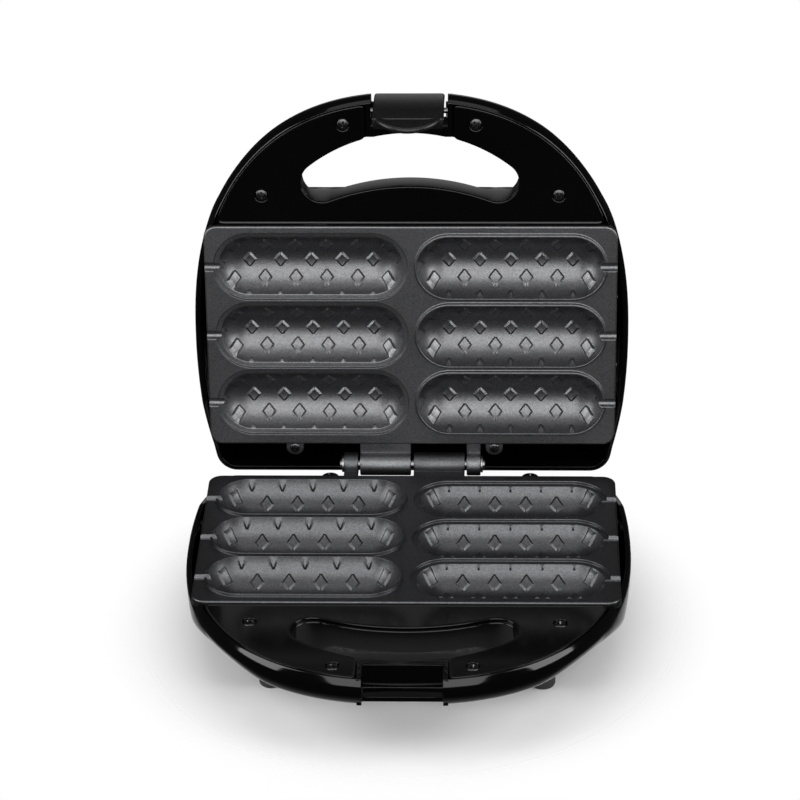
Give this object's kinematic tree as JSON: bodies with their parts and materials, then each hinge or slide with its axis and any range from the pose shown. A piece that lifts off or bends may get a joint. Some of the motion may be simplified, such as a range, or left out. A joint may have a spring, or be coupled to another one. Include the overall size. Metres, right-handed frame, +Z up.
{
  "type": "hot dog maker",
  "caption": "Electric hot dog maker: hinged black clamshell with handle loops, a front latch and non-stick plates of round-ended pockets, shown open.",
  "frame": {"origin": "on the floor plane under the centre of the lower plate, which is the bottom centre of the open part", "axes": "+Z up from the floor, +Y from the handle to the hinge, +X to the right as seen from the handle"},
  "size_m": [0.231, 0.2661, 0.2574],
  "materials": {
    "shell": "glossy black moulded plastic",
    "handle_cover": "glossy black moulded plastic",
    "grid_plate": "charcoal non-stick coating with fine metallic flake",
    "screw": "blackened steel",
    "steel": "plain rolled steel",
    "heater": "dull oxidised steel tube",
    "ceramic": "white ceramic, stood in for by a hard gloss material",
    "rubber": "matt black rubber",
    "inner_plastic": "matt black plastic",
    "lead": "off-white braided glass sleeve",
    "red_lens": "clear red plastic",
    "green_lens": "clear green plastic",
    "latch": "satin black moulded plastic"
  },
  "bodies": {
    "base": {"base_shell": "shell", "base_handle_cover": "handle_cover", "base_cover_screws": "screw", "lower_plate": "grid_plate", "lower_plate_screws": "screw", "lower_heater": "heater", "lower_insulators": "ceramic", "lower_heater_clamp": "steel", "lower_clamp_screw": "screw", "lower_heat_shield": "steel", "hinge_pin": "steel", "hinge_pin_clips": "steel", "feet": "rubber", "foot_screws": "screw", "cord_gland": "rubber", "cord_clamp": "inner_plastic", "cord_clamp_screws": "screw", "terminal_block": "ceramic", "terminal_screws": "steel", "thermal_fuse": "steel", "base_wiring": "lead"},
    "lid": {"lid_shell": "shell", "lid_handle_cover": "handle_cover", "lid_cover_screws": "screw", "upper_plate": "grid_plate", "upper_plate_screws": "screw", "upper_heater": "heater", "upper_insulators": "ceramic", "upper_heater_clamp": "steel", "upper_clamp_screw": "screw", "upper_heat_shield": "steel", "thermostat": "steel", "thermostat_screws": "screw", "power_lamp_lens": "red_lens", "ready_lamp_lens": "green_lens", "lamp_holder": "inner_plastic", "lid_wiring": "lead", "latch_pin": "steel"},
    "latch": {"latch": "latch"}
  },
  "joints": [
    {"name": "lid_hinge", "type": "hinge", "parent": "base", "child": "lid", "pos_m": [0, 0.0741, 0.0515], "axis": [1, 0, 0], "range_deg": [0, 95.6]},
    {"name": "latch_pivot", "type": "hinge", "parent": "lid", "child": "latch", "pos_m": [0, 0.10189, 0.24782], "axis": [1, 0, 0], "range_deg": [-60, 0]}
  ]
}
